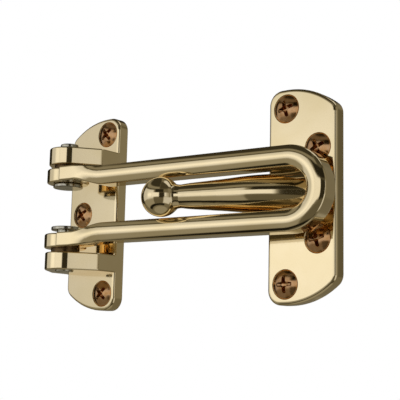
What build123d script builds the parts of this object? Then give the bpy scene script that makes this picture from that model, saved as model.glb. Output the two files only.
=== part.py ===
from build123d import *

import os
from math import cos, radians, sin, sqrt

# Swing-bar door guard: a hinge bracket that carries a U-shaped bar on two pins, and a keeper
# with a ball on a leaning arm. X runs from the bracket to the keeper, Y goes into the door and
# Z is up. The origin is the middle of the bracket's back. "Out" is the height off the door, -Y.
# All lengths are in millimetres and all angles in degrees.

# Both plates
plate_thickness = 4.2
plate_rim_radius = 0.7
end_land = 6.0
end_arc_radius = 25.5
straight_corner_radius = 4.5
arched_corner_radius = 4.0
relief_depth = 1.2
relief_rim = 2.4
boss_wall = 1.0

# Hinge bracket
bracket_width = 23.0
bracket_height = 66.9
bracket_outer_hole_x = 5.9
bracket_hole_inset = 5.75
bracket_middle_hole_x = -4.8

# Lugs of the bracket
pin_out = 16.4
knuckle_radius = 6.65
lug_shoulder = 11.9
lug_shoulder_radius = 2.0
lug_thickness = 5.9
lug_edge_radius = 0.5

# Swing bar
bar_lean = 5.2
bar_reach = 100.4
rod_height = 6.3
rod_depth = 7.5
rod_back = 0.9
rod_crown = 1.3
rod_front_edge_radius = 0.8
slot_width = 12.4
bar_edge_radius = 0.6
eye_radius = 7.1
eye_thickness = 4.8
eye_outer_z = 13.4
arm_start = 2.6
arm_step_radius = 0.9
jog_start = 8.5
jog_length = 12.5
jog_sections = 6

# Hinge pins and washers
pin_diameter = 6.2
pin_head_diameter = 10.0
pin_head_thickness = 1.2
pin_head_edge = 0.3
pin_end_edge = 0.4
pin_end_height = 1.75
pin_head_gap = 0.1
pin_drop = 1.3
washer_diameter = 9.6
washer_thickness = 1.26
washer_gap = 0.05
running_clearance = 0.05
seat_clearance = 0.02

# Keeper, its arm and ball
keeper_pitch = 85.85
keeper_width = 23.6
keeper_height = 65.0
keeper_near_hole_x = -5.4
keeper_hole_inset = 6.1
keeper_far_hole_x = 5.6
keeper_far_hole_z = 13.35
ball_x = 46.1
ball_out = 21.0
ball_clearance = 0.1
arm_lean = 20.0
arm_root_lean = 50.0
arm_straight = 28.0
arm_bend_radius = 30.0
arm_sunk = 5.5
arm_collar_diameter = 8.4
arm_neck_diameter = 7.2
arm_shank_diameter = 8.4
arm_middle_diameter = 9.7
arm_bend_diameter = 11.0
arm_foot_diameter = 15.0
arm_neck_at = 7.0
arm_shank_at = 13.0
arm_middle_at = 21.0

# Screws: ST4.2 raised countersunk tapping screws with a cross recess
screw_length = 9.5
screw_thread_diameter = 4.2
screw_head_diameter = 8.3
screw_head_raise = 1.1
screw_rim = 0.25
screw_point = 2.8
screw_neck_diameter = 3.8
thread_start = 0.3
recess_span = 4.6
recess_slot = 1.15
recess_depth = 2.1
recess_taper = 10.0
hole_diameter = 4.8
countersink_diameter = 9.0
countersink_angle = 90.0

# Worked-out places
door_face = Plane.XZ
plate_front = door_face.offset(plate_thickness)
lug_inner_z = eye_outer_z + washer_thickness + 2 * washer_gap
lug_outer_z = lug_inner_z + lug_thickness
eye_inner_z = eye_outer_z - eye_thickness
pin_radius = pin_diameter / 2
rod_middle_z = (slot_width + rod_height) / 2
jog_end = jog_start + jog_length
loop_centre = bar_reach - rod_height - slot_width / 2
ball_radius = slot_width / 2 - ball_clearance
boss_radius = countersink_diameter / 2 + boss_wall
bracket_outer_hole_z = bracket_height / 2 - bracket_hole_inset
keeper_near_hole_z = keeper_height / 2 - keeper_hole_inset
bracket_holes = (
    (bracket_outer_hole_x, bracket_outer_hole_z),
    (bracket_outer_hole_x, -bracket_outer_hole_z),
    (bracket_middle_hole_x, 0),
)
keeper_holes = (
    (keeper_pitch + keeper_near_hole_x, keeper_near_hole_z),
    (keeper_pitch + keeper_near_hole_x, -keeper_near_hole_z),
    (keeper_pitch + keeper_far_hole_x, keeper_far_hole_z),
    (keeper_pitch + keeper_far_hole_x, -keeper_far_hole_z),
)

# The bar's own directions, along the bar and out of its front, from the foot of the pin axis
bar_along = Vector(cos(radians(bar_lean)), sin(radians(bar_lean)), 0)
bar_outward = Vector(sin(radians(bar_lean)), -cos(radians(bar_lean)), 0)
pin_foot = Vector(0, -pin_out, 0)


def plate_outline(centre, width, height, turn):
    """Plate seen from the front: a straight side on the right, and ends that arch down to the shorter
    left side. The turn brings the straight side to the left."""
    right = width / 2
    apex = right - end_land
    top = height / 2
    end_drop = end_arc_radius - sqrt(end_arc_radius**2 - (width - end_land) ** 2)
    with BuildSketch() as outline:
        with BuildLine():
            Polyline((apex, -top), (right, -top), (right, top), (apex, top))
            TangentArc((apex, top), (-right, top - end_drop), tangent=(-1, 0))
            Line((-right, top - end_drop), (-right, end_drop - top))
            TangentArc((apex, -top), (-right, end_drop - top), tangent=(-1, 0))
        make_face()
        fillet(outline.vertices().sort_by(Axis.X)[-2:], straight_corner_radius)
        fillet(outline.vertices().sort_by(Axis.X)[:2], arched_corner_radius)
    return Pos(centre, 0) * Rot(0, 0, turn) * outline.sketch


def relief_outline(outline, holes):
    """Cored area in a plate's back: the outline less its rim and a boss round each hole."""
    with BuildSketch() as relief:
        add(outline)
        offset(amount=-relief_rim, mode=Mode.REPLACE)
        with Locations(*holes):
            Circle(boss_radius, mode=Mode.SUBTRACT)
    return relief.sketch


def bar_section(station, middle_z, height, crown, front_edge_radius):
    """Section across the bar: flat back, straight sides and a front that stands out by its crown."""
    middle = pin_foot + bar_along * station + Vector(0, 0, middle_z)
    front = rod_back + rod_depth
    side = height / 2
    with BuildSketch(Plane(middle, x_dir=bar_outward, z_dir=bar_along)) as section:
        with BuildLine():
            Polyline((front - crown, -side), (rod_back, -side), (rod_back, side), (front - crown, side))
            if crown > 0:
                ThreePointArc((front - crown, side), (front, 0), (front - crown, -side))
            else:
                Line((front, side), (front, -side))
        make_face()
        fillet(section.vertices().sort_by(Axis.X)[:2], bar_edge_radius)
        fillet(section.vertices().sort_by(Axis.X)[-2:], front_edge_radius)
    return section.sketch


# Hinge bracket: plate, two lugs flush with its sides, pin holes and screw holes
with BuildPart() as upper_lug:
    with BuildSketch(Plane.XY.offset(lug_inner_z)) as lug_plan:
        with Locations((0, -lug_shoulder / 2)):
            Rectangle(bracket_width, lug_shoulder)
        with Locations((0, -pin_out)):
            Circle(knuckle_radius)
        make_hull()
        fillet(lug_plan.vertices().group_by(Axis.Y)[1], lug_shoulder_radius)
    extrude(amount=lug_thickness)
    fillet(upper_lug.faces().filter_by(Axis.Z).edges().sort_by(Axis.Y)[:-2], lug_edge_radius)

with BuildPart() as hinge_bracket:
    bracket_outline = plate_outline(0, bracket_width, bracket_height, 0)
    with BuildSketch(door_face):
        add(bracket_outline)
    extrude(amount=plate_thickness)
    fillet(hinge_bracket.faces().sort_by(Axis.Y)[0].edges(), plate_rim_radius)
    with BuildSketch(door_face):
        add(relief_outline(bracket_outline, bracket_holes))
    extrude(amount=relief_depth, mode=Mode.SUBTRACT)
    with BuildSketch(door_face):
        with Locations((0, lug_inner_z + lug_thickness / 2), (0, -lug_inner_z - lug_thickness / 2)):
            Rectangle(bracket_width, lug_thickness)
    extrude(amount=plate_thickness)
    add(upper_lug.part)
    mirror(upper_lug.part, about=Plane.XY)
    with Locations(pin_foot):
        Cylinder(pin_radius + seat_clearance, 2 * lug_outer_z, mode=Mode.SUBTRACT)
    with Locations(plate_front):
        with Locations(*bracket_holes):
            CounterSinkHole(
                hole_diameter / 2, countersink_diameter / 2, counter_sink_angle=countersink_angle
            )
hinge_bracket.part.label = "hinge_bracket"

# Swing bar: eye with its short arm, jog from the arm to the rod, and the U of the rods
with BuildPart() as upper_eye:
    eye_floor = Plane(pin_foot + Vector(0, 0, eye_inner_z), x_dir=bar_along, z_dir=(0, 0, 1))
    with BuildSketch(eye_floor) as eye_plan:
        Circle(eye_radius)
        with Locations(((arm_start + 2 * jog_start) / 2, -rod_back - rod_depth / 2)):
            Rectangle(2 * jog_start - arm_start, rod_depth)
        arm_corner = eye_plan.vertices().sort_by(Axis.Y)[:2].sort_by(Axis.X)[0]
        fillet(arm_corner, arm_step_radius)
    extrude(amount=eye_thickness)
    fillet(upper_eye.faces().filter_by(Axis.Z).edges(), bar_edge_radius)
    split(bisect_by=Plane(pin_foot + bar_along * jog_start, z_dir=bar_along), keep=Keep.BOTTOM)

with BuildPart() as upper_jog:
    for step in range(jog_sections + 1):
        share = step / jog_sections
        blend = share**2 * (3 - 2 * share)
        eye_middle_z = eye_outer_z - eye_thickness / 2
        add(
            bar_section(
                jog_start + share * jog_length,
                eye_middle_z + blend * (rod_middle_z - eye_middle_z),
                eye_thickness + blend * (rod_height - eye_thickness),
                blend * rod_crown,
                bar_edge_radius + blend * (rod_front_edge_radius - bar_edge_radius),
            )
        )
    loft()

with BuildPart() as swing_bar:
    loop_plane = Plane(pin_foot, x_dir=bar_along, z_dir=bar_outward)
    with BuildLine(loop_plane) as loop:
        Line((jog_end, rod_middle_z), (loop_centre, rod_middle_z))
        ThreePointArc(
            (loop_centre, rod_middle_z), (loop_centre + rod_middle_z, 0), (loop_centre, -rod_middle_z)
        )
        Line((loop_centre, -rod_middle_z), (jog_end, -rod_middle_z))
    rod_section = bar_section(jog_end, rod_middle_z, rod_height, rod_crown, rod_front_edge_radius)
    sweep(rod_section, path=loop.wire())
    for half in (upper_jog.part, upper_eye.part):
        add(half)
        mirror(half, about=Plane.XY)
    with Locations(pin_foot):
        Cylinder(pin_radius + running_clearance, 2 * eye_outer_z, mode=Mode.SUBTRACT)
swing_bar.part.label = "swing_bar"

# Hinge pins: a flat head inside the eye and a shank whose rounded end stands above the upper lug. The
# lower pin is the same, turned over, and hangs a little above its eye.
with BuildPart() as upper_hinge_pin:
    head_outer_z = eye_inner_z - pin_head_gap
    head_inner_z = head_outer_z - pin_head_thickness
    pin_end_z = lug_outer_z + pin_end_height
    with BuildSketch(Plane(pin_foot, x_dir=(1, 0, 0), z_dir=(0, -1, 0))) as pin_half:
        with BuildLine():
            Polyline(
                (0, head_inner_z),
                (pin_head_diameter / 2, head_inner_z),
                (pin_head_diameter / 2, head_outer_z),
                (pin_radius, head_outer_z),
                (pin_radius, pin_end_z),
                (0, pin_end_z),
                close=True,
            )
        make_face()
        fillet(pin_half.vertices().group_by(Axis.X)[-1], pin_head_edge)
        fillet(pin_half.vertices().group_by(Axis.Y)[-1].sort_by(Axis.X)[-1], pin_end_edge)
    revolve(axis=Axis(pin_foot, (0, 0, 1)))
upper_hinge_pin.part.label = "upper_hinge_pin"

with BuildPart() as lower_hinge_pin:
    add(Pos(0, 0, pin_drop) * mirror(upper_hinge_pin.part, about=Plane.XY, mode=Mode.PRIVATE))
lower_hinge_pin.part.label = "lower_hinge_pin"

# Washers between each eye and its lug
with BuildPart() as upper_washer:
    with BuildSketch(Plane(pin_foot + Vector(0, 0, eye_outer_z + washer_gap))):
        Circle(washer_diameter / 2)
        Circle(pin_radius + running_clearance, mode=Mode.SUBTRACT)
    extrude(amount=washer_thickness)
upper_washer.part.label = "upper_washer"

with BuildPart() as lower_washer:
    mirror(upper_washer.part, about=Plane.XY)
lower_washer.part.label = "lower_washer"

# Keeper: plate, and an arm that bends out of it towards the hinge and ends in the ball
arm_collar_radius = arm_collar_diameter / 2
arm_collar_at = sqrt(ball_radius**2 - arm_collar_radius**2)
arm_bend_end_radius = arm_bend_diameter / 2
ball_middle = Vector(ball_x, -ball_out, 0)
arm_slope = Vector(cos(radians(arm_lean)), sin(radians(arm_lean)), 0)
bend_start = ball_middle + arm_slope * arm_straight
bend_middle = bend_start + Vector(-arm_slope.Y, arm_slope.X, 0) * arm_bend_radius
root_slope = Vector(cos(radians(arm_root_lean)), sin(radians(arm_root_lean)), 0)
bend_end = bend_middle + Vector(root_slope.Y, -root_slope.X, 0) * arm_bend_radius
ball_slope = (arm_collar_radius, -arm_collar_at)
arm_widening = (arm_straight - arm_middle_at, (arm_bend_diameter - arm_middle_diameter) / 2)
with BuildPart() as keeper_arm:
    with BuildSketch(Plane(ball_middle, x_dir=arm_slope, z_dir=(0, 0, 1))):
        with BuildLine():
            ThreePointArc((-ball_radius, 0), (0, ball_radius), (arm_collar_at, arm_collar_radius))
            Spline(
                (arm_collar_at, arm_collar_radius),
                (arm_neck_at, arm_neck_diameter / 2),
                (arm_shank_at, arm_shank_diameter / 2),
                (arm_middle_at, arm_middle_diameter / 2),
                (arm_straight, arm_bend_end_radius),
                tangents=(ball_slope, arm_widening),
            )
            Polyline((arm_straight, arm_bend_end_radius), (arm_straight, 0), (-ball_radius, 0))
        make_face()
    revolve(axis=Axis(ball_middle, arm_slope))
    with BuildSketch(Plane(bend_start, x_dir=(0, 0, 1), z_dir=arm_slope)):
        Circle(arm_bend_end_radius)
    revolve(axis=Axis(bend_middle, (0, 0, 1)), revolution_arc=arm_root_lean - arm_lean)
    with Locations(Plane(bend_end, x_dir=(0, 0, 1), z_dir=root_slope)):
        Cone(
            arm_bend_end_radius,
            arm_foot_diameter / 2,
            arm_sunk,
            align=(Align.CENTER, Align.CENTER, Align.MIN),
        )
    split(bisect_by=door_face.offset(relief_depth), keep=Keep.TOP)

with BuildPart() as ball_keeper:
    keeper_outline = plate_outline(keeper_pitch, keeper_width, keeper_height, 180)
    with BuildSketch(door_face):
        add(keeper_outline)
    extrude(amount=plate_thickness)
    fillet(ball_keeper.faces().sort_by(Axis.Y)[0].edges(), plate_rim_radius)
    with BuildSketch(door_face):
        add(relief_outline(keeper_outline, keeper_holes))
    extrude(amount=relief_depth, mode=Mode.SUBTRACT)
    add(keeper_arm.part)
    with Locations(plate_front):
        with Locations(*keeper_holes):
            CounterSinkHole(
                hole_diameter / 2, countersink_diameter / 2, counter_sink_angle=countersink_angle
            )
ball_keeper.part.label = "ball_keeper"

# Screws: the head's cone sits in the countersink, so its rim lies a little below the plate's face
with BuildPart() as screw:
    head_radius = screw_head_diameter / 2
    thread_radius = screw_thread_diameter / 2
    neck_radius = screw_neck_diameter / 2
    rim_top = seat_clearance + screw_rim - (countersink_diameter - screw_head_diameter) / 2
    cone_bottom = rim_top - screw_rim - (head_radius - neck_radius)
    thread_top = -plate_thickness - thread_start
    tip = rim_top - screw_length
    with BuildSketch(Plane.XZ):
        with BuildLine():
            Polyline(
                (0, rim_top + screw_head_raise),
                (0, tip),
                (thread_radius, tip + screw_point),
                (thread_radius, thread_top),
                (neck_radius, thread_top),
                (neck_radius, cone_bottom),
                (head_radius, rim_top - screw_rim),
                (head_radius, rim_top),
            )
            TangentArc(
                (0, rim_top + screw_head_raise), (head_radius, rim_top), tangent=(1, 0)
            )
        make_face()
    revolve(axis=Axis.Z)
    with BuildSketch(Plane.XY.offset(rim_top + screw_head_raise)):
        Rectangle(recess_span, recess_slot)
        Rectangle(recess_slot, recess_span)
    extrude(amount=-recess_depth, taper=recess_taper, mode=Mode.SUBTRACT)

with BuildPart() as bracket_screws:
    with Locations(plate_front):
        with Locations(*bracket_holes):
            add(screw.part)
bracket_screws.part.label = "bracket_screws"

with BuildPart() as keeper_screws:
    with Locations(plate_front):
        with Locations(*keeper_holes):
            add(screw.part)
keeper_screws.part.label = "keeper_screws"

os.makedirs("parts", exist_ok=True)
export_step(hinge_bracket.part, "parts/hinge_bracket.step")
export_step(swing_bar.part, "parts/swing_bar.step")
export_step(upper_hinge_pin.part, "parts/upper_hinge_pin.step")
export_step(lower_hinge_pin.part, "parts/lower_hinge_pin.step")
export_step(upper_washer.part, "parts/upper_washer.step")
export_step(lower_washer.part, "parts/lower_washer.step")
export_step(ball_keeper.part, "parts/ball_keeper.step")
export_step(bracket_screws.part, "parts/bracket_screws.step")
export_step(keeper_screws.part, "parts/keeper_screws.step")
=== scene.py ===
"""Swing-bar door guard: finishes, polished rims and arm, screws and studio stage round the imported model."""

import math

import bmesh
import bpy
import numpy as np
from bpy.props import FloatProperty, PointerProperty, StringProperty
from mathutils import Matrix, Vector


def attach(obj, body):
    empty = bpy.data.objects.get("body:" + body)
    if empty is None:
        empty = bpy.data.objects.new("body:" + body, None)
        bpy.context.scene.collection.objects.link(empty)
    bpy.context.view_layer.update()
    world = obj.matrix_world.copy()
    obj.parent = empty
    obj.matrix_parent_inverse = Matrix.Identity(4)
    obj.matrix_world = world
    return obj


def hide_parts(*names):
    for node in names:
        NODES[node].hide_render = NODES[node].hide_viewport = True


bl_info = {
    "name": "Door guard",
    "version": (1, 0, 0),
    "blender": (4, 5, 0),
    "location": "View3D > Sidebar > Door guard",
    "description": "Dresses a swing-bar door guard in polished brass on a plain studio stage",
    "category": "Object",
}

MM = 0.001
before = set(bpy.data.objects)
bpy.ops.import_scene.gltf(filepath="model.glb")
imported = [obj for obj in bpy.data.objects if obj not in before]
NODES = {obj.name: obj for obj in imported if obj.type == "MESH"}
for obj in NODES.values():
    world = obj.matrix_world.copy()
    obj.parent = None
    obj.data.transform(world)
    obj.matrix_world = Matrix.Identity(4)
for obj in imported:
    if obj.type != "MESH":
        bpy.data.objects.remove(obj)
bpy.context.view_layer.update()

# Level of the plates' fronts out from their backs, in millimetres
PLATE_FRONT = 4.2

# Screws: place of each hole across and up the plates in millimetres, and the turn of its cross in degrees
BRACKET_SCREWS = ((5.9, 27.7, 40), (5.9, -27.7, 45), (-4.8, 0, 35))
KEEPER_SCREWS = ((80.45, 26.4, 15), (80.45, -26.4, 2), (91.45, 13.35, 25), (91.45, -13.35, 12))
# Screw's head: level of its rim from the plate's face, and how far under the rim its wall starts and ends
HEAD_RIM_LEVEL, HEAD_WALL_TOP, HEAD_WALL_FOOT = -0.08, 0.08, 0.25
# Screw's head: how far inside the wall the dome ends, and the shoulder's inset and its drop under that end
HEAD_DOME_INSET = 0.12
HEAD_SHOULDER_INSET, HEAD_SHOULDER_DROP = 0.04, 0.03
# Screw's recess: lip round the mouth and its drop, the floor's share of span and width, the floor's slope
LIP_WIDTH, LIP_DROP = 0.12, 0.07
FLOOR_SPAN_SHARE, FLOOR_WIDTH_SHARE = 0.66, 0.5
FLOOR_SLOPE = 0.28
# Screw's shank: radii of neck and core, length and bluntness of the point, share of the pitch that a thread
# ridge takes, and how far before the plate's back the thread starts and over what length it grows
NECK_RADIUS, CORE_RADIUS = 1.9, 1.5
POINT_LENGTH, POINT_BLUNTNESS = 2.8, 0.7
RIDGE_SHARE = 0.62
THREAD_START, THREAD_RUN_IN = 0.3, 0.8
# Screw's rows over the recess's floor, its walls, the dome, the cone and the shank, and columns round it
FLOOR_ROWS, WALL_ROWS, DOME_ROWS, CONE_ROWS, SHANK_ROWS = 7, 7, 19, 6, 90
SCREW_COLUMNS = 160
SCREW_SHARP_ANGLE = math.radians(38)

# Plates: middle across, width and height, and the side that the straight edge is on, 1 for the right
PLATES = {"hinge_bracket": (0.0, 23.0, 66.9, 1), "ball_keeper": (85.85, 23.6, 65.0, -1)}
# Plates' ends: length of the straight land, radius of the arc, and of the corners on the two sides
PLATE_END_LAND, PLATE_END_RADIUS = 6.0, 25.5
STRAIGHT_CORNER, ARCHED_CORNER = 4.5, 4.0
# Rounding of the plates' front rims as cast and as polished, the slack within which a point counts as on
# the cast rim, and the samples of each stretch of the outline
CAST_RIM, POLISHED_RIM = 0.7, 1.1
RIM_SLACK = 0.02
EDGE_SAMPLES = 400

# Keeper's arm: the ball's middle across and out from the plates' backs, the arm's lean at the ball and
# at the root in degrees, its straight length and the radius of its bend, in millimetres
BALL_ACROSS, BALL_OUT = 46.1, 21.0
BALL_RADIUS = 6.1
ARM_LEAN, ROOT_LEAN = 20, 50
ARM_STRAIGHT, ARM_BEND_RADIUS = 28.0, 30.0
# Radius of the arm at distances from the ball's middle: collar, neck, shank, middle, bend and flared foot
ARM_RADII = (
    (4.42, 4.2),
    (7.0, 3.6),
    (13.0, 4.2),
    (21.0, 4.85),
    (28.0, 5.5),
    (34.0, 5.85),
    (38.5, 6.3),
    (42.0, 7.1),
    (45.0, 8.3),
    (49.0, 10.5),
)
# Skin over the solid arm, and the level inside the plate at which the foot ends
SKIN = 0.04
FOOT_OUT = 3.0
BALL_ROWS, ARM_ROWS, ARM_COLUMNS = 48, 150, 96
# Points nearer than this are one point, in metres
WELD = 1e-7

# Finish: noise values between which the clouds change tone, and between which they change gloss
CLOUD_TONES = (0.3, 0.6)
CLOUD_GLOSS = (0.3, 0.7)
# Painted shade in recesses: reach in millimetres and samples of the look round a point, and the openness
# where the painted shade starts and where it is full
RECESS_REACH, RECESS_SAMPLES = 9, 8
RECESS_OPENNESS = (0.7, 0.2)
# Sockets of a mix node for colours, whose names repeat those of its other kinds
MIX_FACTOR, MIX_FIRST, MIX_SECOND, MIX_RESULT = 0, 6, 7, 2

# Stage: the point that the camera looks at in millimetres, half the floor's width in metres and its cuts,
# its paint and the share of it that is white by itself, and the world's strength as a light and as a
# background
STAGE_TARGET = (52.55, -10.0, 0.057)
FLOOR_REACH, FLOOR_CUTS = 12, 9
FLOOR_PAINT, FLOOR_WHITE = "#F2F2F2", 0.92
WORLD_LIGHT, WORLD_BACKGROUND = 0.6, 1.0

# Studio tent: columns, rows, the elevation of its end rows in degrees, and its light level between panels
TENT_COLUMNS, TENT_ROWS, TENT_POLE = 240, 121, 89.9
TENT_LEVEL = 0.17
# Where the tent's cloth is lit less than its full level, it loses these shares of red, green and blue
CLOTH_FULL_LEVEL = 0.6
CLOTH_WARMTH = (0.0, 0.14, 0.5)
# Panels of the tent: azimuth from the front and elevation in degrees, each from and to, soft edge and light
# level. A later panel covers an earlier one.
TENT_PANELS = (
    ("ceiling_front", (-115, 28), (36, 52), 5, 0.25),
    ("ceiling_top_flag", (-140, 28), (50, 90), 6, 0.04),
    ("ceiling_right_flag", (30, 118), (38, 86), 12, 0.06),
    ("floor_grey", (-180, 180), (-90, -62), 6, 0.3),
    ("floor_dark", (-72, 70), (-55, -43), 4, 0.01),
    ("plateau_front", (-75, -4), (-42, -6), 4, 0.3),
    ("left_flag", (-112, -76), (-16, 36), 8, 0.02),
    ("back_flag", (-170, -112), (4, 52), 10, 0.03),
    ("softbox_left", (-76, -40), (-11, 32), 4, 0.63),
    ("softbox_halo", (-43, -4), (-12, 31), 12, 0.74),
    ("ceiling_gap", (-100, 4), (31, 37), 4, 0.07),
    ("softbox_core", (-42, -14), (-2, 14), 18, 1.12),
    ("softbox_right", (-12, 28), (-6, 17), 5, 0.95),
    ("camera_flag", (4, 55), (18, 37), 5, 0.02),
    ("camera_side", (29, 58.5), (-12, 17), 4, 0.03),
    ("below_camera", (-4, 54), (-44, -12), 6, 0.12),
    ("strip_fade", (66, 100), (-6, 17), 8, 0.45),
    ("strip_box", (59, 71), (-4, 17), 2, 0.72),
    ("softbox_low_right", (56, 102), (-41, -6), 8, 0.62),
    ("grey_card_right", (84, 142), (-6, 40), 6, 0.23),
    ("dark_card_right", (143, 154), (-10, 40), 4, 0.12),
    ("grey_card_back", (154, 176), (-6, 40), 4, 0.2),
    ("softbox_back_low", (170, 200), (-25, -7), 5, 0.45),
    ("softbox_back_top", (100, 180), (48, 80), 8, 0.7),
)


def linear(hex_colour):
    """sRGB hex to linear RGBA: below 0.04045 a straight line, above it a power of 2.4."""
    channels = np.array([int(hex_colour[i : i + 2], 16) for i in (1, 3, 5)]) / 255
    low = channels / 12.92
    high = ((channels + 0.055) / 1.055) ** 2.4
    return (*np.where(channels <= 0.04045, low, high), 1.0)


def add_node(tree, kind, settings=None, values=None, links=None):
    """One node with its settings, its sockets' values and the links into its sockets."""
    node = tree.nodes.new(kind)
    for name, value in (settings or {}).items():
        setattr(node, name, value)
    for name, value in (values or {}).items():
        node.inputs[name].default_value = value
    for name, socket in (links or {}).items():
        tree.links.new(socket, node.inputs[name])
    return node


def new_material(name):
    """Empty node material and its output node."""
    material = bpy.data.materials.new(name)
    material.use_nodes = True
    material.node_tree.nodes.clear()
    output = add_node(material.node_tree, "ShaderNodeOutputMaterial")
    return material, material.node_tree, output


def metal_finish(name, colour, shade, roughness, haze, cloud_mm, ripple_mm, ripple_um, recess=None):
    """Bright metal: a clouded colour and roughness, slow ripples in the polish, and where asked a painted
    shade: a deeper colour laid by ambient occlusion into recesses a few millimetres wide."""
    material, tree, output = new_material(name)
    place = add_node(tree, "ShaderNodeTexCoord").outputs["Object"]
    clouds = add_node(
        tree,
        "ShaderNodeTexNoise",
        values={"Scale": 1 / (cloud_mm * MM), "Detail": 3.0, "Roughness": 0.55},
        links={"Vector": place},
    )
    tint = add_node(tree, "ShaderNodeValToRGB", links={"Fac": clouds.outputs["Fac"]})
    for stop, position, tone in zip(tint.color_ramp.elements, CLOUD_TONES, (shade, colour)):
        stop.position = position
        stop.color = linear(tone)
    gloss = add_node(
        tree,
        "ShaderNodeMapRange",
        values={
            "From Min": CLOUD_GLOSS[0],
            "From Max": CLOUD_GLOSS[1],
            "To Min": roughness,
            "To Max": roughness + haze,
        },
        links={"Value": clouds.outputs["Fac"]},
    )
    ripples = add_node(
        tree,
        "ShaderNodeTexNoise",
        values={"Scale": 1 / (ripple_mm * MM), "Detail": 1.0},
        links={"Vector": place},
    )
    bump = add_node(
        tree,
        "ShaderNodeBump",
        values={"Strength": 1.0, "Distance": ripple_um * MM * MM},
        links={"Height": ripples.outputs["Fac"]},
    )
    body_colour = tint.outputs["Color"]
    # Painted shade: a deeper colour mixed in where ambient occlusion finds the surface closed in
    if recess:
        openness = add_node(
            tree,
            "ShaderNodeAmbientOcclusion",
            {"samples": RECESS_SAMPLES},
            {"Distance": RECESS_REACH * MM},
        )
        depth = add_node(
            tree,
            "ShaderNodeMapRange",
            values={"From Min": RECESS_OPENNESS[0], "From Max": RECESS_OPENNESS[1]},
            links={"Value": openness.outputs["AO"]},
        )
        shaded_colour = add_node(
            tree,
            "ShaderNodeMix",
            {"data_type": "RGBA"},
            {MIX_SECOND: linear(recess)},
            {MIX_FACTOR: depth.outputs["Result"], MIX_FIRST: body_colour},
        )
        body_colour = shaded_colour.outputs[MIX_RESULT]
    surface = add_node(
        tree,
        "ShaderNodeBsdfPrincipled",
        values={"Metallic": 1.0},
        links={
            "Base Color": body_colour,
            "Roughness": gloss.outputs["Result"],
            "Normal": bump.outputs["Normal"],
        },
    )
    tree.links.new(surface.outputs["BSDF"], output.inputs["Surface"])
    return material


def background_rays(tree):
    """1 for rays that see the background: from the camera, in a reflection or through glass."""
    path = add_node(tree, "ShaderNodeLightPath")
    seen = add_node(
        tree,
        "ShaderNodeMath",
        {"operation": "MAXIMUM"},
        links={0: path.outputs["Is Camera Ray"], 1: path.outputs["Is Glossy Ray"]},
    )
    shown = add_node(
        tree,
        "ShaderNodeMath",
        {"operation": "MAXIMUM"},
        links={0: seen.outputs[0], 1: path.outputs["Is Transmission Ray"]},
    )
    return shown.outputs[0]


def dress(material, *names):
    """Gives CAD nodes one finish."""
    for name in names:
        mesh = NODES[name].data
        mesh.materials.clear()
        mesh.materials.append(material)


def grid_mesh(name, points, closed=False):
    """Mesh of quads from an array of points, rows by columns by xyz. A closed one joins its last column
    to its first."""
    rows, columns = points.shape[:2]
    index = np.arange(rows * columns).reshape(rows, columns)
    following = np.roll(index, -1, axis=1)
    if not closed:
        index, following = index[:, :-1], following[:, :-1]
    corners = (index[:-1], index[1:], following[1:], following[:-1])
    quads = np.stack(corners, axis=-1).reshape(-1, 4)
    mesh = bpy.data.meshes.new(name)
    mesh.from_pydata(points.reshape(-1, 3).tolist(), [], quads.tolist())
    mesh.update()
    return mesh


def place_object(name, mesh, material):
    """New object at the origin with its mesh and material."""
    mesh.materials.append(material)
    piece = bpy.data.objects.new(name, mesh)
    bpy.context.scene.collection.objects.link(piece)
    return piece


class DoorGuardFinish(bpy.types.PropertyGroup):
    """Colours of the metal"""

    plate_colour: StringProperty(
        name="Plated casting", description="Bright colour of the plated castings, sRGB hex", default="#F0DEB6"
    )
    plate_shade: StringProperty(
        name="Plating shade", description="Deeper tone of the plating, sRGB hex", default="#EAD7AB"
    )
    # Painted shade: the deeper colour that ambient occlusion lays into the castings' recesses
    recess_shade_colour: StringProperty(
        name="Recesses", description="Colour of the painted shade in recesses, sRGB hex", default="#EFD3A0"
    )
    pin_colour: StringProperty(
        name="Hinge pins", description="Colour of the hinge pins, sRGB hex", default="#C7C3B2"
    )
    pin_shade: StringProperty(
        name="Pin shade", description="Deeper tone of the hinge pins, sRGB hex", default="#9C978A"
    )
    washer_colour: StringProperty(
        name="Washers", description="Colour of the washers, sRGB hex", default="#735E42"
    )
    washer_shade: StringProperty(
        name="Washer shade", description="Deeper tone of the washers, sRGB hex", default="#4A3B28"
    )
    screw_colour: StringProperty(
        name="Screws", description="Colour of the screws, sRGB hex", default="#BF9870"
    )
    screw_shade: StringProperty(
        name="Screw shade", description="Deeper tone of the screws, sRGB hex", default="#B0824F"
    )


class DoorGuardScrews(bpy.types.PropertyGroup):
    """Sizes of the screws, in millimetres"""

    head_diameter: FloatProperty(name="Head", description="Diameter of the head", default=8.3)
    head_raise: FloatProperty(name="Raise", description="Height of the dome over its rim", default=1.1)
    cross_span: FloatProperty(name="Cross span", description="Length over two wings", default=5.0)
    cross_width: FloatProperty(name="Cross width", description="Width of a wing at the mouth", default=1.2)
    cross_depth: FloatProperty(name="Cross depth", description="Depth under the dome's top", default=2.0)
    thread_diameter: FloatProperty(name="Thread", description="Outer diameter of the thread", default=4.2)
    thread_pitch: FloatProperty(name="Pitch", description="Distance from crest to crest", default=1.4)
    length: FloatProperty(name="Length", description="From the head's rim to the point", default=9.5)


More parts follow.
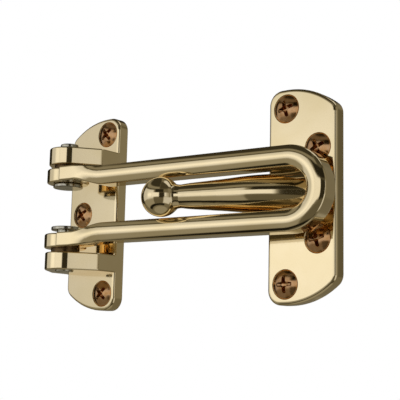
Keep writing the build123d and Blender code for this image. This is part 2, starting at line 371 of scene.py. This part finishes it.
class DoorGuardStage(bpy.types.PropertyGroup):
    """Camera and studio"""

    camera_azimuth: FloatProperty(
        name="Azimuth",
        description="Camera's turn from the front",
        default=math.radians(38.737),
        subtype="ANGLE",
    )
    camera_elevation: FloatProperty(
        name="Elevation", description="Camera's height angle", default=math.radians(-8.892), subtype="ANGLE"
    )
    camera_roll: FloatProperty(
        name="Roll", description="Camera's turn about its view", default=math.radians(1.294), subtype="ANGLE"
    )
    camera_distance: FloatProperty(
        name="Distance", description="Camera to the point it looks at", default=0.295702, unit="LENGTH"
    )
    camera_lens: FloatProperty(name="Lens", description="Focal length in millimetres", default=85.76)
    floor_height: FloatProperty(
        name="Floor", description="Height of the floor", default=-2.05, unit="LENGTH"
    )
    tent_radius: FloatProperty(
        name="Tent", description="Radius of the studio tent", default=2.0, unit="LENGTH"
    )


class DOORGUARD_OT_castings(bpy.types.Operator):
    """Polished brass plate of the castings, put on the bar"""

    bl_idname = "doorguard.castings"
    bl_label = "Castings"

    def execute(self, context):
        finish = context.scene.door_guard_finish
        # Pale brass plate on a buffed zinc die casting: a mirror with slow ripples and faint clouds
        brass = metal_finish(
            "brass_plated_zinc",
            finish.plate_colour,
            finish.plate_shade,
            roughness=0.05,
            haze=0.05,
            cloud_mm=14,
            ripple_mm=9,
            ripple_um=4,
            # Painted shade: recesses of the castings take a deeper colour by ambient occlusion
            recess=finish.recess_shade_colour,
        )
        dress(brass, "swing_bar")
        return {"FINISHED"}


class DOORGUARD_OT_pins(bpy.types.Operator):
    """Hinge pins and the washers on them"""

    bl_idname = "doorguard.pins"
    bl_label = "Hinge pins and washers"

    def execute(self, context):
        finish = context.scene.door_guard_finish
        # Zinc-plated turned steel: bright grey, with a faint haze from the plating
        zinc = metal_finish(
            "zinc_plated_steel",
            finish.pin_colour,
            finish.pin_shade,
            roughness=0.12,
            haze=0.1,
            cloud_mm=2.5,
            ripple_mm=1.5,
            ripple_um=2,
        )
        dress(zinc, "upper_hinge_pin", "lower_hinge_pin")
        # Stamped bronze sheet, darkened by oil: a dull brown sheen
        bronze = metal_finish(
            "oiled_bronze",
            finish.washer_colour,
            finish.washer_shade,
            roughness=0.3,
            haze=0.15,
            cloud_mm=1.5,
            ripple_mm=0.8,
            ripple_um=3,
        )
        dress(bronze, "upper_washer", "lower_washer")
        return {"FINISHED"}


def plate_edge(across, width, height, side):
    """Points of a plate's outline and its outward directions there. The upper half is six stretches: a side,
    a round corner, a short land, the end's arc, a round corner that touches the arc from inside, and the
    other side. The lower half mirrors it."""
    right, top = width / 2, height / 2
    land = right - PLATE_END_LAND
    arc_z = top - PLATE_END_RADIUS
    corner_x = ARCHED_CORNER - right
    corner_z = arc_z + math.sqrt((PLATE_END_RADIUS - ARCHED_CORNER) ** 2 - (corner_x - land) ** 2)
    meeting = math.atan2(corner_z - arc_z, corner_x - land)
    arcs = (
        ((right - STRAIGHT_CORNER, top - STRAIGHT_CORNER), STRAIGHT_CORNER, 0, math.pi / 2),
        ((land, arc_z), PLATE_END_RADIUS, math.pi / 2, meeting),
        ((corner_x, corner_z), ARCHED_CORNER, meeting, math.pi),
    )
    share = np.linspace(0, 1, EDGE_SAMPLES)[:, None]
    lines = (
        ((right, 0), (0, top - STRAIGHT_CORNER), (1, 0)),
        ((-right, 0), (0, corner_z), (-1, 0)),
        ((land, top), (right - STRAIGHT_CORNER - land, 0), (0, 1)),
    )
    points = [start + share * run for start, run, _ in lines]
    outward = [np.zeros_like(share) + facing for _, _, facing in lines]
    for middle, radius, first, last in arcs:
        turn = first + share * (last - first)
        outward.append(np.hstack((np.cos(turn), np.sin(turn))))
        points.append(middle + radius * outward[-1])
    upper, facing = np.concatenate(points), np.concatenate(outward)
    points = np.concatenate((upper, upper * (1, -1))) * (side, 1) + (across, 0)
    return points, np.concatenate((facing, facing * (1, -1))) * (side, 1)


def rounder_rim(points, edge, outward):
    """Moves the points of a casting's rim, whose rounding is a quarter circle, out to a larger quarter
    circle that touches the same face and the same wall. A point keeps its angle on the circle."""
    out = -points[:, 1]
    rim_foot = PLATE_FRONT - CAST_RIM
    near = np.flatnonzero((out > rim_foot - RIM_SLACK) & (out < PLATE_FRONT + RIM_SLACK))
    gaps = points[near][:, None, ::2] - edge[None, :, :]
    nearest = np.argmin((gaps**2).sum(axis=2), axis=1)
    facing = outward[nearest]
    inset = -(gaps[np.arange(len(near)), nearest] * facing).sum(axis=1)
    aside, above = CAST_RIM - inset, out[near] - rim_foot
    on_rim = np.abs(np.hypot(aside, above) - CAST_RIM) < RIM_SLACK
    angle = np.arctan2(above, aside)[on_rim]
    moved = near[on_rim]
    foot = points[moved][:, ::2] + facing[on_rim] * inset[on_rim][:, None]
    placed = points.copy()
    placed[moved, ::2] = foot - facing[on_rim] * (POLISHED_RIM * (1 - np.cos(angle)))[:, None]
    placed[moved, 1] = POLISHED_RIM * (1 - np.sin(angle)) - PLATE_FRONT
    return placed


def welded_copy(mesh):
    """Points in millimetres, triangles and the facing at each triangle's corners of a mesh, with points in
    the same place, to a thousandth of a millimetre, joined to one."""
    points = np.empty(len(mesh.vertices) * 3)
    mesh.vertices.foreach_get("co", points)
    corners = np.empty(len(mesh.loops), dtype=int)
    mesh.loops.foreach_get("vertex_index", corners)
    facing = np.empty(len(mesh.loops) * 3)
    mesh.corner_normals.foreach_get("vector", facing)
    points = points.reshape(-1, 3) / MM
    _, first, joined = np.unique(np.round(points, 3), axis=0, return_index=True, return_inverse=True)
    triangles = joined.ravel()[corners].reshape(-1, 3)
    whole = (triangles != np.roll(triangles, 1, axis=1)).all(axis=1)
    return points[first], triangles[whole], facing.reshape(-1, 3, 3)[whole]


class DOORGUARD_OT_plates(bpy.types.Operator):
    """Bracket and keeper with the rounder rims that polishing gives"""

    bl_idname = "doorguard.plates"
    bl_label = "Polished plates"

    def execute(self, context):
        for node, plate in PLATES.items():
            points, triangles, facing = welded_copy(NODES[node].data)
            placed = rounder_rim(points, *plate_edge(*plate))
            mesh = bpy.data.meshes.new("polished_" + node)
            mesh.from_pydata((placed * MM).tolist(), [], triangles.tolist())
            mesh.shade_smooth()
            # Facing stays as in the solid: a rim's point keeps its angle, and the other points don't move
            mesh.normals_split_custom_set(facing.reshape(-1, 3).tolist())
            piece = place_object("polished_" + node, mesh, bpy.data.materials["brass_plated_zinc"])
            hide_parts(node)
            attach(piece, "base")
        return {"FINISHED"}


def smooth_curve(knots, values, first_slope, at):
    """Cubic curve through the values. The slopes at the knots are solved so that the second derivative is
    the same on both sides of each knot, is zero at the last knot, and the first slope is as given."""
    gap = np.diff(knots)
    rate = np.diff(values) / gap
    count = len(knots)
    system = np.eye(count)
    known = np.full(count, first_slope)
    for i in range(1, count - 1):
        system[i, i - 1 : i + 2] = (gap[i], 2 * (gap[i - 1] + gap[i]), gap[i - 1])
        known[i] = 3 * (gap[i] * rate[i - 1] + gap[i - 1] * rate[i])
    system[-1, -2:] = (1, 2)
    known[-1] = 3 * rate[-1]
    slope = np.linalg.solve(system, known)
    span = np.clip(np.searchsorted(knots, at, side="right") - 1, 0, count - 2)
    h, t = gap[span], (at - knots[span]) / gap[span]
    start = (2 * t**3 - 3 * t**2 + 1) * values[span] + (t**3 - 2 * t**2 + t) * h * slope[span]
    end = (3 * t**2 - 2 * t**3) * values[span + 1] + (t**3 - t**2) * h * slope[span + 1]
    return start + end


def arm_surface():
    """Arm and ball as rings along the arm's line, by columns round it. The ball's rings are at -r cos t with
    radius r sin t, the arm's radius is a smooth curve of the distance, and the line goes straight, then
    round a bend and straight again."""
    knots, radii = np.array(ARM_RADII).T
    turn = np.linspace(0, np.arccos(-knots[0] / BALL_RADIUS), BALL_ROWS)
    ball_along = -BALL_RADIUS * np.cos(turn)
    ball_radius = (BALL_RADIUS + SKIN) * np.sin(turn)
    arm_along = np.linspace(knots[0], knots[-1], ARM_ROWS)[1:]
    ball_slope = -knots[0] / radii[0]
    arm_radius = smooth_curve(knots, radii, ball_slope, arm_along) + SKIN
    along = np.concatenate((ball_along * (1 + SKIN / BALL_RADIUS), arm_along, knots[-1:]))[:, None]
    radius = np.concatenate((ball_radius, arm_radius, [0]))[:, None]

    first, last = math.radians(ARM_LEAN), math.radians(ROOT_LEAN)
    bent = np.clip((along - ARM_STRAIGHT) / ARM_BEND_RADIUS, 0, last - first)
    lean = first + bent
    before = np.minimum(along, ARM_STRAIGHT)
    after = np.maximum(along - ARM_STRAIGHT - ARM_BEND_RADIUS * (last - first), 0)
    chord_x = ARM_BEND_RADIUS * (np.sin(lean) - math.sin(first))
    chord_y = ARM_BEND_RADIUS * (math.cos(first) - np.cos(lean))
    line_x = BALL_ACROSS + before * math.cos(first) + chord_x + after * math.cos(last)
    line_y = -BALL_OUT + before * math.sin(first) + chord_y + after * math.sin(last)

    angle = np.linspace(0, 2 * np.pi, ARM_COLUMNS, endpoint=False)[None, :]
    outward = radius * np.cos(angle)
    x = line_x + outward * np.sin(lean)
    y = line_y - outward * np.cos(lean)
    return np.stack((x, y, radius * np.sin(angle)), axis=-1)


class DOORGUARD_OT_arm(bpy.types.Operator):
    """Polished skin over the keeper's arm and ball, which flows into a flared foot"""

    bl_idname = "doorguard.arm"
    bl_label = "Arm and ball"

    def execute(self, context):
        shell = bmesh.new()
        single = grid_mesh("arm_rings", arm_surface() * MM, closed=True)
        shell.from_mesh(single)
        bpy.data.meshes.remove(single)
        bmesh.ops.remove_doubles(shell, verts=shell.verts, dist=WELD)
        # The foot ends flat inside the plate
        cut = bmesh.ops.bisect_plane(
            shell,
            geom=[*shell.verts, *shell.edges, *shell.faces],
            plane_co=(0, -FOOT_OUT * MM, 0),
            plane_no=(0, 1, 0),
            clear_outer=True,
        )
        sole = [item for item in cut["geom_cut"] if isinstance(item, bmesh.types.BMEdge)]
        bmesh.ops.edgeloop_fill(shell, edges=sole)
        bmesh.ops.recalc_face_normals(shell, faces=shell.faces)
        mesh = bpy.data.meshes.new("polished_arm")
        shell.to_mesh(mesh)
        shell.free()
        mesh.shade_smooth()
        piece = place_object("polished_arm", mesh, bpy.data.materials["brass_plated_zinc"])
        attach(piece, "base")
        return {"FINISHED"}


def cross_outline(angle, span, width):
    """Radius of a four-winged cross at each angle. A wing is a rounded box, 1 / (|cos a / half span|^6 +
    |sin a / half width|^6)^(1/6), and the two boxes join as the fourth root of the sum of fourth powers."""
    across, up = np.abs(np.cos(angle)), np.abs(np.sin(angle))
    level_wing = ((across / (span / 2)) ** 6 + (up / (width / 2)) ** 6) ** (-1 / 6)
    upright_wing = ((up / (span / 2)) ** 6 + (across / (width / 2)) ** 6) ** (-1 / 6)
    return (level_wing**4 + upright_wing**4) ** (1 / 4)


def screw_surface(sizes, turn):
    """Whole screw as rows going out over the head and down to the point, by columns round its axis.
    Over the head: the recess's floor rises from its middle, its walls lean out to the cross's outline,
    and the dome is a cap of a ball. Down the shank the radius is a core plus a thread ridge that falls
    off on both sides of the line height = pitch * (turns + whole number)."""
    angle = np.linspace(0, 2 * np.pi, SCREW_COLUMNS, endpoint=False)[None, :]
    ones = np.ones_like(angle)
    head = sizes.head_diameter / 2
    rim = HEAD_RIM_LEVEL
    ball = (head**2 + sizes.head_raise**2) / (2 * sizes.head_raise)

    def dome(radius):
        return rim + np.sqrt(ball**2 - radius**2) - (ball - sizes.head_raise)

    mouth = cross_outline(angle - turn, sizes.cross_span, sizes.cross_width)
    lip = mouth + LIP_WIDTH
    floor = cross_outline(
        angle - turn, FLOOR_SPAN_SHARE * sizes.cross_span, FLOOR_WIDTH_SHARE * sizes.cross_width
    )
    floor_radius = np.linspace(0, 1, FLOOR_ROWS)[:, None] * floor
    floor_height = rim + sizes.head_raise - sizes.cross_depth + FLOOR_SLOPE * floor_radius
    wall_share = np.linspace(0, 1, WALL_ROWS)[1:, None]
    wall_radius = floor + wall_share * (mouth - floor)
    wall_height = floor_height[-1] + wall_share * (dome(lip) - LIP_DROP - floor_height[-1])
    dome_end = head - HEAD_DOME_INSET
    dome_radius = lip + np.linspace(0, 1, DOME_ROWS)[:, None] * (dome_end - lip)
    wall_foot = rim - HEAD_WALL_FOOT
    edge_radius = np.array((head - HEAD_SHOULDER_INSET, head, head))[:, None] * ones
    edge_levels = (dome(dome_end) - HEAD_SHOULDER_DROP, rim - HEAD_WALL_TOP, wall_foot)
    edge_height = np.array(edge_levels)[:, None] * ones
    cone_share = np.linspace(0, 1, CONE_ROWS)[1:, None]
    cone_radius = (head + cone_share * (NECK_RADIUS - head)) * ones
    cone_height = (wall_foot - cone_share * (head - NECK_RADIUS)) * ones

    tip = rim - sizes.length
    thread = sizes.thread_diameter / 2
    height = np.linspace(cone_height[-1, 0], tip, SHANK_ROWS)[1:, None]
    taper = np.clip((height - tip) / POINT_LENGTH, 0, 1)
    core = CORE_RADIUS * taper**POINT_BLUNTNESS
    phase = (height / sizes.thread_pitch + angle / (2 * np.pi)) % 1
    ridge = np.clip(1 - np.abs(2 * phase - 1) / RIDGE_SHARE, 0, 1)
    run_in = np.clip((THREAD_START - PLATE_FRONT - height) / THREAD_RUN_IN, 0, 1)
    shank = NECK_RADIUS + (core - NECK_RADIUS) * run_in
    shank_radius = np.minimum(shank + ridge * run_in * (thread - CORE_RADIUS), thread * taper)
    radius = np.concatenate((floor_radius, wall_radius, dome_radius, edge_radius, cone_radius, shank_radius))
    rise = np.concatenate(
        (floor_height, wall_height, dome(dome_radius), edge_height, cone_height, height * ones)
    )
    return np.stack((radius * np.cos(angle), radius * np.sin(angle), rise), axis=-1)


def screw_set(name, sizes, places):
    """One mesh of the screws of a plate. A screw's own axes go to X, Z and out of the plate, -Y."""
    shell = bmesh.new()
    for across, up, turn in places:
        own = screw_surface(sizes, math.radians(turn))
        placed = np.stack((own[..., 0] + across, -PLATE_FRONT - own[..., 2], own[..., 1] + up), axis=-1)
        single = grid_mesh(name + "_single", placed * MM, closed=True)
        shell.from_mesh(single)
        bpy.data.meshes.remove(single)
    bmesh.ops.remove_doubles(shell, verts=shell.verts, dist=WELD)
    mesh = bpy.data.meshes.new(name)
    shell.to_mesh(mesh)
    shell.free()
    mesh.shade_smooth()
    mesh.set_sharp_from_angle(angle=SCREW_SHARP_ANGLE)
    return mesh


class DOORGUARD_OT_screws(bpy.types.Operator):
    """Cross-recess screws in a bronze tone, with their threads"""

    bl_idname = "doorguard.screws"
    bl_label = "Screws"

    def execute(self, context):
        finish = context.scene.door_guard_finish
        sizes = context.scene.door_guard_screws
        # Barrel-plated steel: a bright bronze tone, a little hazy from tumbling
        screw_plate = metal_finish(
            "bronze_plated_steel",
            finish.screw_colour,
            finish.screw_shade,
            roughness=0.09,
            haze=0.1,
            cloud_mm=1.6,
            ripple_mm=0.9,
            ripple_um=4,
        )
        for node, places in (("bracket_screws", BRACKET_SCREWS), ("keeper_screws", KEEPER_SCREWS)):
            piece = place_object("threaded_" + node, screw_set(node, sizes, places), screw_plate)
            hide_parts(node)
            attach(piece, "base")
        return {"FINISHED"}


def tent_levels(azimuth, elevation):
    """Light level of the tent in each direction. Each panel is mixed over what is there by the product
    of two weights, which go from 0 to 1 as a smooth step across its side edges and its end edges."""

    def soft_step(inside, soft):
        share = np.clip(inside / soft + 0.5, 0, 1)
        return share * share * (3 - 2 * share)

    level = np.full(np.broadcast(azimuth, elevation).shape, TENT_LEVEL)
    for _, (left, right), (low, high), soft, strength in TENT_PANELS:
        aside = np.abs((azimuth - (left + right) / 2 + 180) % 360 - 180)
        ends = np.minimum(elevation - low, high - elevation)
        weight = soft_step((right - left) / 2 - aside, soft) * soft_step(ends, soft)
        level = level + (strength - level) * weight
    return level


class DOORGUARD_OT_stage(bpy.types.Operator):
    """Camera, white world, pale floor and the studio tent"""

    bl_idname = "doorguard.stage"
    bl_label = "Stage"

    def execute(self, context):
        scene = context.scene
        stage = scene.door_guard_stage
        scene.view_settings.view_transform = "Standard"
        target = Vector(STAGE_TARGET) * MM
        self.set_camera(scene, stage, target)
        self.set_world(scene)
        self.lay_floor(stage, target)
        self.hang_tent(stage, target)
        return {"FINISHED"}

    def hang_tent(self, stage, target):
        """Tent of soft light round the object: a ball whose points are target + radius * (cos e sin a,
        -cos e cos a, sin e). The camera looks through it."""
        azimuth = np.linspace(-180, 180, TENT_COLUMNS, endpoint=False)[None, :]
        elevation = np.linspace(-TENT_POLE, TENT_POLE, TENT_ROWS)[:, None]
        a, e = np.radians(azimuth), np.radians(elevation)
        ball = np.stack((np.cos(e) * np.sin(a), -np.cos(e) * np.cos(a), np.sin(e) + 0 * a), axis=-1)
        mesh = grid_mesh("tent", np.array(target) + stage.tent_radius * ball, closed=True)
        levels = tent_levels(azimuth, elevation)
        shades = np.ones((*levels.shape, 4))
        unlit = 1 - np.clip(levels / CLOTH_FULL_LEVEL, 0, 1)
        shades[..., :3] = levels[..., None] * (1 - unlit[..., None] * np.array(CLOTH_WARMTH))
        layer = mesh.color_attributes.new("light_level", "FLOAT_COLOR", "POINT")
        layer.data.foreach_set("color", shades.ravel())
        material, tree, output = new_material("tent_cloth")
        level = add_node(tree, "ShaderNodeAttribute", {"attribute_name": "light_level"})
        glow = add_node(tree, "ShaderNodeEmission", links={"Color": level.outputs["Color"]})
        tree.links.new(glow.outputs["Emission"], output.inputs["Surface"])
        tent = place_object("tent", mesh, material)
        tent.visible_camera = False

    def set_camera(self, scene, stage, target):
        """Looks at the target from an azimuth and elevation, then rolls about its own view."""
        azimuth, elevation, roll = stage.camera_azimuth, stage.camera_elevation, stage.camera_roll
        towards = Vector(
            (
                math.cos(elevation) * math.sin(azimuth),
                -math.cos(elevation) * math.cos(azimuth),
                math.sin(elevation),
            )
        )
        right = Vector((0, 0, 1)).cross(towards).normalized()
        up = towards.cross(right)
        rolled_right = math.cos(roll) * right + math.sin(roll) * up
        rolled_up = math.cos(roll) * up - math.sin(roll) * right
        lens = bpy.data.cameras.new("camera")
        lens.lens = stage.camera_lens
        lens.sensor_width = 36
        lens.clip_start = 0.01
        camera = bpy.data.objects.new("camera", lens)
        turn = Matrix((rolled_right, rolled_up, towards)).transposed().to_4x4()
        camera.matrix_world = Matrix.Translation(target + towards * stage.camera_distance) @ turn
        scene.collection.objects.link(camera)
        scene.camera = camera

    def set_world(self, scene):
        """White to the camera and in reflections, softer as a light."""
        world = bpy.data.worlds.new("studio")
        world.use_nodes = True
        tree = world.node_tree
        tree.nodes.clear()
        level = add_node(
            tree,
            "ShaderNodeMapRange",
            values={"To Min": WORLD_LIGHT, "To Max": WORLD_BACKGROUND},
            links={"Value": background_rays(tree)},
        )
        back = add_node(
            tree,
            "ShaderNodeBackground",
            values={"Color": (1, 1, 1, 1)},
            links={"Strength": level.outputs["Result"]},
        )
        output = add_node(tree, "ShaderNodeOutputWorld")
        tree.links.new(back.outputs["Background"], output.inputs["Surface"])
        scene.world = world

    def lay_floor(self, stage, target):
        """Wide flat sheet under the object: mostly white by itself, the rest takes light and shadow."""
        reach = np.linspace(-FLOOR_REACH, FLOOR_REACH, FLOOR_CUTS)
        across, along = np.meshgrid(reach, reach, indexing="ij")
        height = np.full_like(across, stage.floor_height)
        points = np.stack((across + target[0], along + target[1], height), axis=-1)
        material, tree, output = new_material("pale_floor")
        paint = add_node(tree, "ShaderNodeBsdfDiffuse", values={"Color": linear(FLOOR_PAINT)})
        glow = add_node(tree, "ShaderNodeEmission", values={"Strength": 1.0})
        white = add_node(
            tree,
            "ShaderNodeMath",
            {"operation": "MULTIPLY"},
            values={1: FLOOR_WHITE},
            links={0: background_rays(tree)},
        )
        mix = add_node(
            tree,
            "ShaderNodeMixShader",
            links={0: white.outputs[0], 1: paint.outputs["BSDF"], 2: glow.outputs["Emission"]},
        )
        tree.links.new(mix.outputs["Shader"], output.inputs["Surface"])
        floor = place_object("floor", grid_mesh("floor", points), material)


class DOORGUARD_PT_panel(bpy.types.Panel):
    """Door guard's pieces and stage"""

    bl_label = "Door guard"
    bl_space_type = "VIEW_3D"
    bl_region_type = "UI"
    bl_category = "Door guard"

    def draw(self, context):
        for group in GROUPS:
            sizes = getattr(context.scene, group)
            for name in sizes.__annotations__:
                self.layout.prop(sizes, name)
        for operator in OPERATORS:
            self.layout.operator(operator.bl_idname)


GROUPS = {
    "door_guard_finish": DoorGuardFinish,
    "door_guard_screws": DoorGuardScrews,
    "door_guard_stage": DoorGuardStage,
}
OPERATORS = (
    DOORGUARD_OT_castings,
    DOORGUARD_OT_plates,
    DOORGUARD_OT_arm,
    DOORGUARD_OT_pins,
    DOORGUARD_OT_screws,
    DOORGUARD_OT_stage,
)
CLASSES = (*GROUPS.values(), *OPERATORS, DOORGUARD_PT_panel)


def register():
    for cls in CLASSES:
        bpy.utils.register_class(cls)
    for name, group in GROUPS.items():
        setattr(bpy.types.Scene, name, PointerProperty(type=group))


def unregister():
    for name in GROUPS:
        delattr(bpy.types.Scene, name)
    for cls in reversed(CLASSES):
        bpy.utils.unregister_class(cls)


def main():
    register()
    bpy.ops.doorguard.castings()
    bpy.ops.doorguard.plates()
    bpy.ops.doorguard.arm()
    bpy.ops.doorguard.pins()
    bpy.ops.doorguard.screws()
    bpy.ops.doorguard.stage()


if __name__ == "__main__":
    main()
